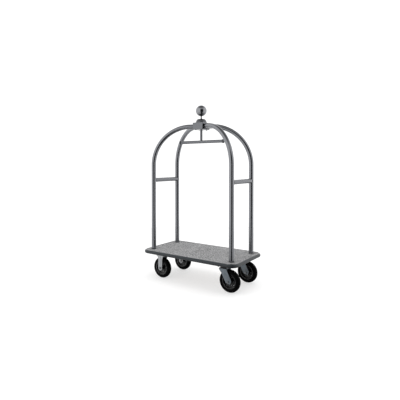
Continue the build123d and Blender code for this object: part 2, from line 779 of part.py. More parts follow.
rigid_axles = [axle_parts(rigid_x, sign * caster_y, sign) for sign in sides.values()]
for piece in ("bolt", "nut", "sleeve"):
    with BuildPart() as rigid_axle:
        for axle in rigid_axles:
            add(axle[piece])
    save(rigid_axle, f"rigid_axle_{piece}s")

for side, side_sign in sides.items():
    axle = axle_parts(axle_x, side_sign * caster_y, side_sign)
    for piece in ("bolt", "nut", "sleeve"):
        with BuildPart() as swivel_axle:
            add(axle[piece])
        save(swivel_axle, f"swivel_axle_{piece}_{side}")

# --- Wheels ---------------------------------------------------------------------------------

# Everything on a wheel is turned about its axle: u runs along the axle, v outwards from it.
def wheel_plane(x, y):
    return Plane(origin=(x, y, wheel_radius), x_dir=(0, 1, 0), z_dir=(1, 0, 0))


def build_tyre(x, y):
    half = tyre_width / 2
    shoulder = tyre_round * (1 - sqrt(0.5))
    with BuildPart() as tyre:
        with BuildSketch(wheel_plane(x, y)):
            with BuildLine():
                Polyline(
                    (-rim_lip_half + rim_sheet, rim_seat_radius),
                    (rim_lip_half - rim_sheet, rim_seat_radius),
                    (rim_lip_half - rim_sheet, rim_lip_radius),
                    (rim_lip_half, rim_lip_radius),
                )
                ThreePointArc(
                    (rim_lip_half, rim_lip_radius),
                    (half - sidewall_hollow, rim_lip_radius + bead_rise),
                    (half, wheel_radius - tyre_round),
                )
                ThreePointArc(
                    (half, wheel_radius - tyre_round),
                    (half - shoulder, wheel_radius - shoulder),
                    (tread_half, wheel_radius),
                )
                Line((tread_half, wheel_radius), (-tread_half, wheel_radius))
                ThreePointArc(
                    (-tread_half, wheel_radius),
                    (shoulder - half, wheel_radius - shoulder),
                    (-half, wheel_radius - tyre_round),
                )
                ThreePointArc(
                    (-half, wheel_radius - tyre_round),
                    (sidewall_hollow - half, rim_lip_radius + bead_rise),
                    (-rim_lip_half, rim_lip_radius),
                )
                Polyline(
                    (-rim_lip_half, rim_lip_radius),
                    (rim_sheet - rim_lip_half, rim_lip_radius),
                    (rim_sheet - rim_lip_half, rim_seat_radius),
                )
            make_face()
            with Locations((-groove_offset, wheel_radius), (groove_offset, wheel_radius)):
                Rectangle(2 * tread_groove, 2 * tread_groove, mode=Mode.SUBTRACT)
        revolve(axis=Axis((x, y, wheel_radius), (0, 1, 0)))
    return tyre


def build_rim(x, y):
    """Two pressed halves bolted together at the disc, each with its half of the hub tube."""
    with BuildPart() as rim:
        for sign in (-1, 1):
            with BuildSketch(wheel_plane(x, y)):
                with BuildLine():
                    Polyline(
                        (sign * rim_split, bearing_radius),
                        (sign * hub_tube_half, bearing_radius),
                        (sign * hub_tube_half, hub_tube_radius),
                        (sign * rim_disc_half, hub_tube_radius),
                        (sign * rim_disc_half, disc_edge),
                        (sign * (rim_lip_half - rim_sheet - rim_ledge), rim_seat_radius - rim_sheet),
                        (sign * rim_lip_half, rim_seat_radius - rim_sheet + rim_roll),
                        (sign * rim_lip_half, rim_lip_radius),
                        (sign * (rim_lip_half - rim_sheet), rim_lip_radius),
                        (sign * (rim_lip_half - rim_sheet), rim_seat_radius),
                        (sign * (rim_lip_half - 2 * rim_sheet - rim_ledge), rim_seat_radius),
                        (sign * rim_split, disc_edge + rim_sheet),
                        close=True,
                    )
                make_face()
            revolve(axis=Axis((x, y, wheel_radius), (0, 1, 0)))
        with Locations(Location((x, y, wheel_radius), (90, 0, 0))):
            with PolarLocations(rim_bolt_circle, rim_bolt_count):
                Cylinder(rim_bolt_radius, 2 * rim_lip_half, mode=Mode.SUBTRACT)
    return rim


def build_rim_bolts(x, y):
    """Six bolts through both halves of the rim, each with its nut on the inner face."""
    length = 2 * rim_disc_half + rim_nut_height + rim_bolt_tip
    with BuildPart() as bolts:
        with Locations(Location((x, y - rim_disc_half, wheel_radius), (-90, 0, 0))):
            with PolarLocations(rim_bolt_circle, rim_bolt_count):
                add(hex_bolt(rim_bolt_radius, length, rim_bolt_flats, rim_bolt_head))
        with Locations(Location((x, y + rim_disc_half, wheel_radius), (-90, 0, 0))):
            with PolarLocations(rim_bolt_circle, rim_bolt_count):
                add(hex_nut(rim_bolt_radius, rim_bolt_flats, rim_nut_height))
    return bolts


def build_bearings(x, y):
    centre = hub_tube_half - bearing_width / 2
    with BuildPart() as bearings:
        for sign in (-1, 1):
            with Locations(Location((x, y + sign * centre, wheel_radius), (90, 0, 0))):
                Cylinder(bearing_radius, bearing_width)
                Cylinder(sleeve_radius + running_gap, bearing_width, mode=Mode.SUBTRACT)
    return bearings


for end, x in {"left": rigid_x, "right": axle_x}.items():
    for side, side_sign in sides.items():
        y = side_sign * caster_y
        save(build_tyre(x, y), f"tyre_{end}_{side}")
        save(build_rim(x, y), f"rim_{end}_{side}")
        save(build_rim_bolts(x, y), f"rim_bolts_{end}_{side}")
        save(build_bearings(x, y), f"bearings_{end}_{side}")
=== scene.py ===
import math
import random

import bmesh
import bpy
from mathutils import Matrix, Vector, noise


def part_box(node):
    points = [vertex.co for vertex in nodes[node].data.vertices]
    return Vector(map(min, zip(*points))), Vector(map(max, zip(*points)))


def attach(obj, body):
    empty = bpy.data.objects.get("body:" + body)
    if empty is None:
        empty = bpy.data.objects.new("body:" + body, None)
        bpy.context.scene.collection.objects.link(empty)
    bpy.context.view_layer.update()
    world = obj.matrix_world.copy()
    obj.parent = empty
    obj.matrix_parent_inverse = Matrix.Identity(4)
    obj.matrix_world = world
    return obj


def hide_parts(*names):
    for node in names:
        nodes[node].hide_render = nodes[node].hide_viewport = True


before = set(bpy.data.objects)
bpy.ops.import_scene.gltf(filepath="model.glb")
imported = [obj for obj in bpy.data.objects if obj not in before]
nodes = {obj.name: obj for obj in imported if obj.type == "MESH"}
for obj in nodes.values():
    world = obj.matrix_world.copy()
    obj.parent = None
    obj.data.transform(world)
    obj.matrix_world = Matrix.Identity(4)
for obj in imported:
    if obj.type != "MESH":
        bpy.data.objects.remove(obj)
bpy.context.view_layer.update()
ends = {"left": -1, "right": 1}
sides = {"front": -1, "rear": 1}
print("frame loaded:", len(nodes), "nodes")


# Helpers for node trees

nodeRow = {"gap": 240, "column": 4}  # how nodes are laid out in the editor


def addNode(tree, kind, **settings):
    column, row = divmod(len(tree.nodes), nodeRow["column"])
    node = tree.nodes.new(kind)
    node.location = (nodeRow["gap"] * column, -nodeRow["gap"] * row)
    for name, value in settings.items():
        setattr(node, name, value)
    return node


def setInputs(node, values):
    for name, value in values.items():
        node.inputs[name].default_value = value


def feed(tree, socket, value):
    # A socket takes a number, a colour or another node's output.
    if isinstance(value, (int, float)):
        socket.default_value = value
    elif isinstance(value, tuple):
        socket.default_value = (*value, 1.0)
    else:
        tree.links.new(value, socket)


def mathNode(tree, operation, first, second=None, clamp=False):
    node = addNode(tree, "ShaderNodeMath", operation=operation, use_clamp=clamp)
    feed(tree, node.inputs[0], first)
    if second is not None:
        feed(tree, node.inputs[1], second)
    return node.outputs[0]


def plusShare(tree, main, extra, share, clamp=False):
    return mathNode(tree, "ADD", main, mathNode(tree, "MULTIPLY", extra, share), clamp)


def vectorNode(tree, operation, first, second=None):
    node = addNode(tree, "ShaderNodeVectorMath", operation=operation)
    tree.links.new(first, node.inputs[0])
    if isinstance(second, tuple):
        node.inputs[1].default_value = second
    elif second is not None:
        tree.links.new(second, node.inputs[1])
    return node.outputs["Value" if operation == "DOT_PRODUCT" else "Vector"]


def splitAxes(tree, vector):
    node = addNode(tree, "ShaderNodeSeparateXYZ")
    tree.links.new(vector, node.inputs[0])
    return node.outputs


def mapRange(tree, value, low, high, newLow=0.0, newHigh=1.0):
    node = addNode(tree, "ShaderNodeMapRange")
    tree.links.new(value, node.inputs["Value"])
    for name, number in (("From Min", low), ("From Max", high), ("To Min", newLow), ("To Max", newHigh)):
        feed(tree, node.inputs[name], number)
    return node.outputs["Result"]


def mixColour(tree, factor, first, second):
    node = addNode(tree, "ShaderNodeMix", data_type="RGBA")
    for place, value in ((0, factor), (6, first), (7, second)):  # 6 and 7 are the colour sockets
        feed(tree, node.inputs[place], value)
    return node.outputs[2]


def noiseTexture(tree, vector, scale, detail, roughness):
    node = addNode(tree, "ShaderNodeTexNoise")
    setInputs(node, {"Detail": detail, "Roughness": roughness})
    feed(tree, node.inputs["Scale"], scale)
    tree.links.new(vector, node.inputs["Vector"])
    return node.outputs["Fac"]


def cellShades(tree, place, scale):
    # Three random numbers for each cell.
    cells = addNode(tree, "ShaderNodeTexVoronoi")
    setInputs(cells, {"Scale": scale})
    tree.links.new(place, cells.inputs["Vector"])
    shades = addNode(tree, "ShaderNodeSeparateColor")
    tree.links.new(cells.outputs["Color"], shades.inputs[0])
    return shades.outputs


def objectPlace(tree):
    return addNode(tree, "ShaderNodeTexCoord").outputs["Object"]


def newGroup(name, inputs, outputs):
    group = bpy.data.node_groups.new(name, "ShaderNodeTree")
    for label, value in inputs.items():
        kind = "NodeSocketVector" if isinstance(value, tuple) else "NodeSocketFloat"
        socket = group.interface.new_socket(name=label, in_out="INPUT", socket_type=kind)
        socket.default_value = value
    for label in outputs:
        group.interface.new_socket(name=label, in_out="OUTPUT", socket_type="NodeSocketFloat")
    return group, addNode(group, "NodeGroupInput").outputs, addNode(group, "NodeGroupOutput").inputs


def useGroup(tree, group, values):
    node = addNode(tree, "ShaderNodeGroup")
    node.node_tree = group
    setInputs(node, values)
    return node.outputs


# Effects that several finishes share

wearLook = {
    "samples": 4,
    "bend": (0.01, 0.16),
    "patches": (0.38, 0.62),
    "patchDetail": 4.0,
    "patchRoughness": 0.65,
}


def makeEdgeWear(look):
    # Wear shows where the surface bends, broken up into patches.
    inputs = {"Width": 0.0012, "Amount": 0.6, "Patch Scale": 60.0}
    group, given, out = newGroup("edgeWear", inputs, ["Mask"])
    bevel = addNode(group, "ShaderNodeBevel", samples=look["samples"])
    group.links.new(given["Width"], bevel.inputs["Radius"])
    flat = addNode(group, "ShaderNodeNewGeometry").outputs["Normal"]
    bend = mathNode(group, "SUBTRACT", 1.0, vectorNode(group, "DOT_PRODUCT", bevel.outputs["Normal"], flat))
    edge = mapRange(group, bend, *look["bend"])
    place = objectPlace(group)
    patches = noiseTexture(group, place, given["Patch Scale"], look["patchDetail"], look["patchRoughness"])
    worn = mathNode(group, "MULTIPLY", edge, mapRange(group, patches, *look["patches"]))
    group.links.new(mathNode(group, "MULTIPLY", worn, given["Amount"], clamp=True), out["Mask"])
    return group


grainLook = {
    "detail": 3.0,
    "roughness": 0.6,
    "along": 9.0,
    "smudgeDetail": 5.0,
    "smudgeRoughness": 0.6,
    "smudges": (0.35, 0.7),
}


def addSmudge(group, place, scale, look):
    cloud = noiseTexture(group, place, scale, look["smudgeDetail"], look["smudgeRoughness"])
    return mapRange(group, cloud, *look["smudges"])


def makeBrushed(look):
    # Straight brushing lines: the lower number in Stretch is the way that they run.
    inputs = {"Stretch": (900.0, 900.0, 12.0), "Smudge Scale": 9.0}
    group, given, out = newGroup("brushedGrain", inputs, ["Grain", "Smudge"])
    place = objectPlace(group)
    stretched = vectorNode(group, "MULTIPLY", place, given["Stretch"])
    grain = noiseTexture(group, stretched, 1.0, look["detail"], look["roughness"])
    group.links.new(grain, out["Grain"])
    group.links.new(addSmudge(group, place, given["Smudge Scale"], look), out["Smudge"])
    return group


def makeArchGrain(post, bend, top, look):
    # Lines run along the tube: up the post, round the bend, and in towards the crown.
    inputs = {"Fineness": 900.0, "Smudge Scale": 7.0}
    group, given, out = newGroup("archGrain", inputs, ["Grain", "Smudge"])
    diagonal = math.hypot(*post)
    place = objectPlace(group)
    split = splitAxes(group, place)
    across = mathNode(group, "ABSOLUTE", split["X"])
    deep = mathNode(group, "ABSOLUTE", split["Y"])
    shareX, shareY = post[0] / diagonal, post[1] / diagonal
    outward = plusShare(group, mathNode(group, "MULTIPLY", across, shareX), deep, shareY)
    lateral = mathNode(
        group, "SUBTRACT",
        mathNode(group, "MULTIPLY", across, shareY),
        mathNode(group, "MULTIPLY", deep, shareX),
    )
    rise = mathNode(group, "MAXIMUM", mathNode(group, "SUBTRACT", split["Z"], top - bend), 0.0)
    reach = mathNode(group, "SUBTRACT", outward, diagonal - bend)
    reachIn = mathNode(group, "MAXIMUM", reach, 0.0)
    squares = mathNode(
        group, "ADD",
        mathNode(group, "MULTIPLY", reachIn, reachIn),
        mathNode(group, "MULTIPLY", rise, rise),
    )
    radial = mathNode(group, "SQRT", squares)
    roundBend = mathNode(group, "MULTIPLY", mathNode(group, "ARCTAN2", rise, reachIn), bend)
    level = mathNode(group, "SUBTRACT", roundBend, mathNode(group, "MINIMUM", reach, 0.0))
    along = mathNode(group, "ADD", mathNode(group, "MINIMUM", split["Z"], top - bend), level)
    joined = addNode(group, "ShaderNodeCombineXYZ")
    group.links.new(mathNode(group, "MULTIPLY", radial, given["Fineness"]), joined.inputs["X"])
    group.links.new(mathNode(group, "MULTIPLY", lateral, given["Fineness"]), joined.inputs["Y"])
    group.links.new(mathNode(group, "MULTIPLY", along, look["along"]), joined.inputs["Z"])
    grain = noiseTexture(group, joined.outputs[0], 1.0, look["detail"], look["roughness"])
    group.links.new(grain, out["Grain"])
    group.links.new(addSmudge(group, place, given["Smudge Scale"], look), out["Smudge"])
    return group


dustLook = {"detail": 6.0, "roughness": 0.7, "specks": (0.42, 0.72)}


def makeDust(look):
    # Dust in specks, thickest near the floor and gone at the ceiling height.
    inputs = {"Amount": 0.5, "Ceiling": 0.25, "Speck Scale": 140.0}
    group, given, out = newGroup("dustFilm", inputs, ["Mask"])
    place = objectPlace(group)
    low = mapRange(group, splitAxes(group, place)["Z"], 0.0, given["Ceiling"], 1.0, 0.0)
    specks = noiseTexture(group, place, given["Speck Scale"], look["detail"], look["roughness"])
    dusty = mathNode(group, "MULTIPLY", low, mapRange(group, specks, *look["specks"]))
    group.links.new(mathNode(group, "MULTIPLY", dusty, given["Amount"], clamp=True), out["Mask"])
    return group


# Places and sizes that come from the frame

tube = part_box("arch_tube_right_rear")
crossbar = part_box("crossbar_right")
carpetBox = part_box("carpet")
barMiddle = (crossbar[0].x + crossbar[1].x) / 2
tubeRadius = tube[1].x - barMiddle
post = (barMiddle, tube[1].y - tubeRadius)
archTop = tube[1].z - tubeRadius
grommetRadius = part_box("post_grommets")[1].x - post[0]
crownRun = 0.10675  # level run of a tube from its bend to the cart's middle
archBend = math.hypot(*post) - crownRun

edgeWear = makeEdgeWear(wearLook)
brushedGrain = makeBrushed(grainLook)
archGrain = makeArchGrain(post, archBend, archTop, grainLook)
dustFilm = makeDust(dustLook)
print("shared effects ready, posts at", [round(value, 4) for value in post])


# Finishes

def newMaterial(name):
    material = bpy.data.materials.new(name)
    material.use_nodes = True
    tree = material.node_tree
    return material, tree, tree.nodes["Principled BSDF"]


def bumpInto(tree, shader, height, distance, strength=1.0):
    bump = addNode(tree, "ShaderNodeBump")
    setInputs(bump, {"Distance": distance, "Strength": strength})
    tree.links.new(height, bump.inputs["Height"])
    tree.links.new(bump.outputs["Normal"], shader.inputs["Normal"])


def scaled(colour, factor):
    return tuple(value * factor for value in colour)


# Brushed steel. "lines" is how fine the brushing is along X, Y and Z.
steelTones = {
    "satin": {"dark": (0.222, 0.228, 0.242), "light": (0.246, 0.252, 0.266), "roughness": (0.15, 0.25)},
    "bar": {"dark": (0.172, 0.177, 0.189), "light": (0.196, 0.201, 0.213), "roughness": (0.15, 0.25)},
    "crown": {"dark": (0.165, 0.17, 0.182), "light": (0.195, 0.20, 0.212), "roughness": (0.26, 0.38)},
    "cap": {"dark": (0.085, 0.088, 0.095), "light": (0.14, 0.144, 0.152), "roughness": (0.2, 0.32)},
    "weld": {"dark": (0.12, 0.118, 0.115), "light": (0.27, 0.262, 0.25), "roughness": (0.28, 0.45)},
    "edge": {"dark": (0.32, 0.322, 0.33), "light": (0.46, 0.462, 0.47), "roughness": (0.22, 0.36)},
}
grainDepths = {
    "satin": 0.0000018,
    "bar": 0.0000018,
    "crown": 0.000004,
    "cap": 0.000003,
    "weld": 0.00001,
    "edge": 0.000005,
}
brushedPieces = {
    "crossbar": {"name": "crossbar satin steel", "lines": (900.0, 12.0, 900.0), "tone": "bar"},
    "garment_rail": {"name": "rail satin steel", "lines": (12.0, 900.0, 900.0), "tone": "bar"},
    "rail_end_caps": {"name": "rail cap satin steel", "lines": (700.0, 90.0, 90.0), "tone": "cap"},
    "rail_stem": {"name": "stem satin steel", "lines": (900.0, 900.0, 12.0), "tone": "satin"},
    "hub_shell": {"name": "hub satin steel", "lines": (16.0, 700.0, 700.0), "tone": "crown"},
    "hub_bottom_plate": {"name": "hub plate satin steel", "lines": (16.0, 700.0, 700.0), "tone": "crown"},
    "hub_cap": {"name": "cap spun steel", "lines": (60.0, 60.0, 900.0), "tone": "cap"},
    "weld": {"name": "ground weld", "lines": (260.0, 260.0, 260.0), "tone": "weld"},
    "edge_channel": {"name": "edge channel satin aluminium", "lines": (14.0, 14.0, 700.0), "tone": "edge"},
}
smudgeShare = {"smudge": 0.6, "grain": 0.4}


def finishSteel(tree, shader, source, tone):
    look = steelTones[tone]
    colour = mixColour(tree, source["Grain"], look["dark"], look["light"])
    tree.links.new(colour, shader.inputs["Base Color"])
    smudged = mathNode(tree, "MULTIPLY", source["Smudge"], smudgeShare["smudge"])
    level = plusShare(tree, smudged, source["Grain"], smudgeShare["grain"])
    tree.links.new(mapRange(tree, level, 0.0, 1.0, *look["roughness"]), shader.inputs["Roughness"])
    shader.inputs["Metallic"].default_value = 1.0
    bumpInto(tree, shader, source["Grain"], grainDepths[tone])


def archSteel():
    material, tree, shader = newMaterial("arch satin steel")
    finishSteel(tree, shader, useGroup(tree, archGrain, {}), "satin")
    return material


def brushedSteel(name, lines, tone):
    material, tree, shader = newMaterial(name)
    finishSteel(tree, shader, useGroup(tree, brushedGrain, {"Stretch": lines}), tone)
    return material


ballLook = {
    "clear": (0.29, 0.295, 0.308),
    "smudged": (0.25, 0.255, 0.268),
    "roughness": (0.05, 0.13),
    "smudgeScale": 22.0,
}


def chromeBall(look):
    material, tree, shader = newMaterial("polished finial")
    smudge = useGroup(tree, brushedGrain, {"Smudge Scale": look["smudgeScale"]})["Smudge"]
    tree.links.new(mixColour(tree, smudge, look["clear"], look["smudged"]), shader.inputs["Base Color"])
    tree.links.new(mapRange(tree, smudge, 0.0, 1.0, *look["roughness"]), shader.inputs["Roughness"])
    shader.inputs["Metallic"].default_value = 1.0
    return material


zincTones = {
    "bright": {"dark": (0.33, 0.34, 0.352), "light": (0.50, 0.51, 0.52), "roughness": (0.26, 0.42)},
    "blue": {"dark": (0.16, 0.188, 0.21), "light": (0.27, 0.305, 0.335), "roughness": (0.28, 0.45)},
    "fastener": {"dark": (0.20, 0.205, 0.212), "light": (0.38, 0.385, 0.39), "roughness": (0.25, 0.42)},
    "dull": {"dark": (0.05, 0.052, 0.056), "light": (0.16, 0.165, 0.17), "roughness": (0.3, 0.5)},
}
zincPieces = {
    "rigid_fork": {"name": "bright zinc plate", "tone": "bright"},
    "swivel_fork": {"name": "blue zinc plate", "tone": "blue"},
    "swivel_top_plates": {"name": "plate zinc", "tone": "blue"},
    "fastener": {"name": "fastener zinc", "tone": "fastener"},
    "rim_bolts": {"name": "rim bolt zinc", "tone": "dull"},
    "bearings": {"name": "bearing steel", "tone": "fastener"},
}
zincLook = {
    "spangleScale": 260.0,
    "cloud": (30.0, 5.0, 0.6),  # scale, detail, roughness
    "spangleShare": 0.3,
    "cloudShare": 0.7,
    "wear": {"Width": 0.0015, "Amount": 0.7, "Patch Scale": 70.0},
    "wornGain": 1.25,
    "dust": {"Amount": 0.35, "Ceiling": 0.22},
    "dustColour": (0.20, 0.19, 0.175),
    "blendSpan": (0.2, 0.8),
    "dustRoughness": 0.4,
    "depth": 0.0001,
}


def zincPlate(name, tone):
    # Plated sheet: soft spangle, a little dust low down, bare steel at the edges.
    look = zincLook
    colours = zincTones[tone]
    material, tree, shader = newMaterial(name)
    place = objectPlace(tree)
    spangle = cellShades(tree, place, look["spangleScale"])[0]
    cloud = noiseTexture(tree, place, *look["cloud"])
    spangled = mathNode(tree, "MULTIPLY", spangle, look["spangleShare"])
    blend = plusShare(tree, spangled, cloud, look["cloudShare"])
    plated = mixColour(tree, blend, colours["dark"], colours["light"])
    wear = useGroup(tree, edgeWear, look["wear"])["Mask"]
    worn = mixColour(tree, wear, plated, scaled(colours["light"], look["wornGain"]))
    dust = useGroup(tree, dustFilm, look["dust"])["Mask"]
    tree.links.new(mixColour(tree, dust, worn, look["dustColour"]), shader.inputs["Base Color"])
    rough = mapRange(tree, blend, *look["blendSpan"], *colours["roughness"])
    dustyRough = plusShare(tree, rough, dust, look["dustRoughness"], clamp=True)
    tree.links.new(dustyRough, shader.inputs["Roughness"])
    tree.links.new(mathNode(tree, "SUBTRACT", 1.0, dust, clamp=True), shader.inputs["Metallic"])
    bumpInto(tree, shader, blend, look["depth"])
    return material


paintedPieces = {
    "rim": {
        "name": "gloss black enamel", "colour": (0.0015, 0.0015, 0.0017), "roughness": (0.08, 0.2),
        "peel": 0.00002, "chip": 0.5, "gloss": 0.27,
    },
    "swivel_races": {
        "name": "greased black race", "colour": (0.006, 0.006, 0.0065), "roughness": (0.3, 0.5),
        "peel": 0.00005, "chip": 0.5, "gloss": 0.3,
    },
    "frame": {
        "name": "black powder coat", "colour": (0.008, 0.008, 0.009), "roughness": (0.4, 0.6),
        "peel": 0.0001, "chip": 0.5, "gloss": 0.3,
    },
}
paintLook = {
    "skin": (700.0, 2.0, 0.5),  # scale, detail, roughness
    "cloud": (18.0, 4.0, 0.6),
    "cloudSpan": (0.3, 0.7),
    "lighter": 1.8,
    "wearWidth": 0.001,
    "patchScale": 110.0,
    "steel": (0.20, 0.20, 0.21),
    "dust": {"Amount": 0.18, "Ceiling": 0.3},
    "dustColour": (0.07, 0.067, 0.061),
    "dustRoughness": 0.5,
}


def blackPaint(name, colour, roughness, peel, chip, gloss):
    # Enamel or powder coat over steel: orange peel, chips at the edges, dust near the floor.
    look = paintLook
    material, tree, shader = newMaterial(name)
    place = objectPlace(tree)
    skin = noiseTexture(tree, place, *look["skin"])
    cloud = noiseTexture(tree, place, *look["cloud"])
    base = mixColour(tree, cloud, colour, scaled(colour, look["lighter"]))
    worn = {"Width": look["wearWidth"], "Amount": chip, "Patch Scale": look["patchScale"]}
    wear = useGroup(tree, edgeWear, worn)["Mask"]
    chipped = mixColour(tree, wear, base, look["steel"])
    dust = useGroup(tree, dustFilm, look["dust"])["Mask"]
    tree.links.new(mixColour(tree, dust, chipped, look["dustColour"]), shader.inputs["Base Color"])
    rough = mapRange(tree, cloud, *look["cloudSpan"], *roughness)
    dustyRough = plusShare(tree, rough, dust, look["dustRoughness"], clamp=True)
    tree.links.new(dustyRough, shader.inputs["Roughness"])
    tree.links.new(wear, shader.inputs["Metallic"])
    shader.inputs["Specular IOR Level"].default_value = gloss
    bumpInto(tree, shader, skin, peel)
    return material


rubberPieces = {
    "tyre": {
        "name": "tyre rubber", "colour": (0.0011, 0.0011, 0.0012), "roughness": (0.36, 0.52),
        "dustAmount": 0.06, "ceiling": 0.05, "gloss": 0.04,
    },
    "bumper": {
        "name": "bumper vinyl", "colour": (0.015, 0.019, 0.022), "roughness": (0.28, 0.40),
        "dustAmount": 0.0, "ceiling": 0.3, "gloss": 0.42,
    },
    "post_grommets": {
        "name": "grommet rubber", "colour": (0.02, 0.02, 0.021), "roughness": (0.5, 0.7),
        "dustAmount": 0.0, "ceiling": 0.3, "gloss": 0.3,
    },
}
rubberLook = {
    "cloud": (26.0, 5.0, 0.65),  # scale, detail, roughness
    "pores": (1300.0, 2.0, 0.5),
    "cloudSpan": (0.3, 0.7),
    "lighter": 1.9,
    "wear": {"Width": 0.0015, "Amount": 0.35, "Patch Scale": 90.0},
    "scuffGain": 3.0,
    "speckScale": 170.0,
    "dustColour": (0.06, 0.057, 0.052),
    "dustRoughness": 0.4,
    "cloudShare": 0.6,
    "depth": 0.00008,
}


def rubber(name, colour, roughness, dustAmount, ceiling, gloss):
    # Moulded rubber or vinyl: fine pores, a cloudy bloom, scuffed edges, dust near the floor.
    look = rubberLook
    material, tree, shader = newMaterial(name)
    place = objectPlace(tree)
    cloud = noiseTexture(tree, place, *look["cloud"])
    pores = noiseTexture(tree, place, *look["pores"])
    base = mixColour(tree, cloud, colour, scaled(colour, look["lighter"]))
    wear = useGroup(tree, edgeWear, look["wear"])["Mask"]
    scuffed = mixColour(tree, wear, base, scaled(colour, look["scuffGain"]))
    film = {"Amount": dustAmount, "Ceiling": ceiling, "Speck Scale": look["speckScale"]}
    dust = useGroup(tree, dustFilm, film)["Mask"]
    tree.links.new(mixColour(tree, dust, scuffed, look["dustColour"]), shader.inputs["Base Color"])
    rough = mapRange(tree, cloud, *look["cloudSpan"], *roughness)
    dustyRough = plusShare(tree, rough, dust, look["dustRoughness"], clamp=True)
    tree.links.new(dustyRough, shader.inputs["Roughness"])
    shader.inputs["Specular IOR Level"].default_value = gloss
    bumpInto(tree, shader, plusShare(tree, pores, cloud, look["cloudShare"]), look["depth"])
    return material


boardLook = {
    "stretch": (3.0, 45.0, 60.0),
    "detail": 6.0,
    "grainRoughness": 0.65,
    "layers": 2513.0,  # radians for each metre of height: one light and one dark layer in 2.5 mm
    "layerShare": 0.12,
    "dark": (0.20, 0.115, 0.055),
    "light": (0.46, 0.32, 0.19),
    "grainSpan": (0.3, 0.7),
    "roughness": (0.42, 0.62),
    "depth": 0.0003,
}


def plywood(look):
    material, tree, shader = newMaterial("sealed plywood")
    place = objectPlace(tree)
    stretched = vectorNode(tree, "MULTIPLY", place, look["stretch"])
    grain = noiseTexture(tree, stretched, 1.0, look["detail"], look["grainRoughness"])
    height = splitAxes(tree, place)["Z"]
    plies = mathNode(tree, "SINE", mathNode(tree, "MULTIPLY", height, look["layers"]))
    shade = plusShare(tree, grain, plies, look["layerShare"], clamp=True)
    tree.links.new(mixColour(tree, shade, look["dark"], look["light"]), shader.inputs["Base Color"])
    rough = mapRange(tree, grain, *look["grainSpan"], *look["roughness"])
    tree.links.new(rough, shader.inputs["Roughness"])
    bumpInto(tree, shader, grain, look["depth"])
    return material


pileLook = {
    "low": (0.012, 0.012, 0.013),
    "mid": (0.15, 0.15, 0.154),
    "high": (0.56, 0.56, 0.565),
    "tuftScale": 300.0,
    "fibre": (900.0, 3.0, 0.6),  # scale, detail, roughness
    "clump": (135.0, 2.0, 0.75),
    "lay": (5.5, 3.0, 0.55),
    "saltShare": 0.35,
    "salt": (0.5, 0.95),
    "pepperShare": 0.4,
    "pepper": (0.68, 0.95),
    # painted shade between the fibres: where and how strongly the roots go dark
    "rootShade": (0.30, 0.48, 0.5, 0.0),
    "brushedOver": (0.35, 0.7, 0.0, 0.16),
    "tuftShare": 0.5,
    "depth": 0.0012,
    "strength": 0.9,
    "shader": {
        "Roughness": 0.95, "Specular IOR Level": 0.1, "Sheen Weight": 0.12, "Sheen Roughness": 0.5,
    },
}


def carpetPile(look):
    # Salt and pepper tufts, a slight lay of the pile, and painted shade down at the roots between them.
    material, tree, shader = newMaterial("carpet pile")
    place = objectPlace(tree)
    tuft = cellShades(tree, place, look["tuftScale"])
    fibre = noiseTexture(tree, place, *look["fibre"])
    clump = noiseTexture(tree, place, *look["clump"])
    lay = noiseTexture(tree, place, *look["lay"])
    salt = plusShare(tree, clump, tuft[0], look["saltShare"])
    tone = mixColour(tree, mapRange(tree, salt, *look["salt"]), look["mid"], look["high"])
    pepper = plusShare(tree, mathNode(tree, "SUBTRACT", 1.0, clump), tuft[1], look["pepperShare"])
    flecked = mixColour(tree, mapRange(tree, pepper, *look["pepper"]), tone, look["low"])
    # Painted shade: darker at the roots between the fibres, where shade falls.
    rootShaded = mixColour(tree, mapRange(tree, fibre, *look["rootShade"]), flecked, look["low"])
    layered = mixColour(tree, mapRange(tree, lay, *look["brushedOver"]), rootShaded, look["high"])
    tree.links.new(layered, shader.inputs["Base Color"])
    setInputs(shader, look["shader"])
    height = plusShare(tree, fibre, tuft[2], look["tuftShare"])
    bumpInto(tree, shader, height, look["depth"], look["strength"])
    return material


finishes = {
    "arch_tube": archSteel(),
    "finial": chromeBall(ballLook),
    "deck_board": plywood(boardLook),
    "carpet": carpetPile(pileLook),
}
for make, pieces in (
    (brushedSteel, brushedPieces),
    (zincPlate, zincPieces),
    (blackPaint, paintedPieces),
    (rubber, rubberPieces),
):
    for piece, values in pieces.items():
        finishes[piece] = make(**values)
borrowed = {"rail_stem_nut": "fastener", "finial_neck": "hub_cap", "caster_channels": "frame"}


def finishFor(nodeName):
    # The longest name that fits; small hardware that has none of its own is a fastener.
    fitting = [piece for piece in finishes if nodeName.startswith(piece)]
    return borrowed.get(nodeName, max(fitting, key=len, default="fastener"))


for nodeName, node in nodes.items():
    node.data.materials.clear()
    node.data.materials.append(finishes[finishFor(nodeName)])
print("finishes placed on", len(nodes), "nodes")


# Carpet: a laid sheet of cut pile with a rolled edge and a hole for each post

carpetLook = {
    "step": 0.004,
    "pile": 0.0011,
    "tallest": 0.75,  # share of the pile that random tufts stay below
    "edgeRound": 0.004,
    "corner": 0.052,
    "holeGap": 0.0003,
    "wave": 0.0005,
    "waveScale": 14.0,
    "waveLayer": 3.0,
    "snapOut": 0.72,  # shares of a step within which points slide onto an edge
    "snapIn": 0.6,
    "snapOnto": 0.4,
    "seed": 11,
}


def roundedInset(x, y, half, corner):
    # Distance from a point to the rounded rectangle's edge, positive inside.
    dx = abs(x) - (half[0] - corner)
    dy = abs(y) - (half[1] - corner)
    outside = math.hypot(max(dx, 0.0), max(dy, 0.0))
    return corner - outside - min(max(dx, dy), 0.0)


def slideToCorner(x, y, half, corner):
    dx = abs(x) - (half[0] - corner)
    dy = abs(y) - (half[1] - corner)
    if dx <= 0 or dy <= 0:
        return x, y
    scale = corner / math.hypot(dx, dy)
    newX = math.copysign(half[0] - corner + dx * scale, x)
    newY = math.copysign(half[1] - corner + dy * scale, y)
    return newX, newY


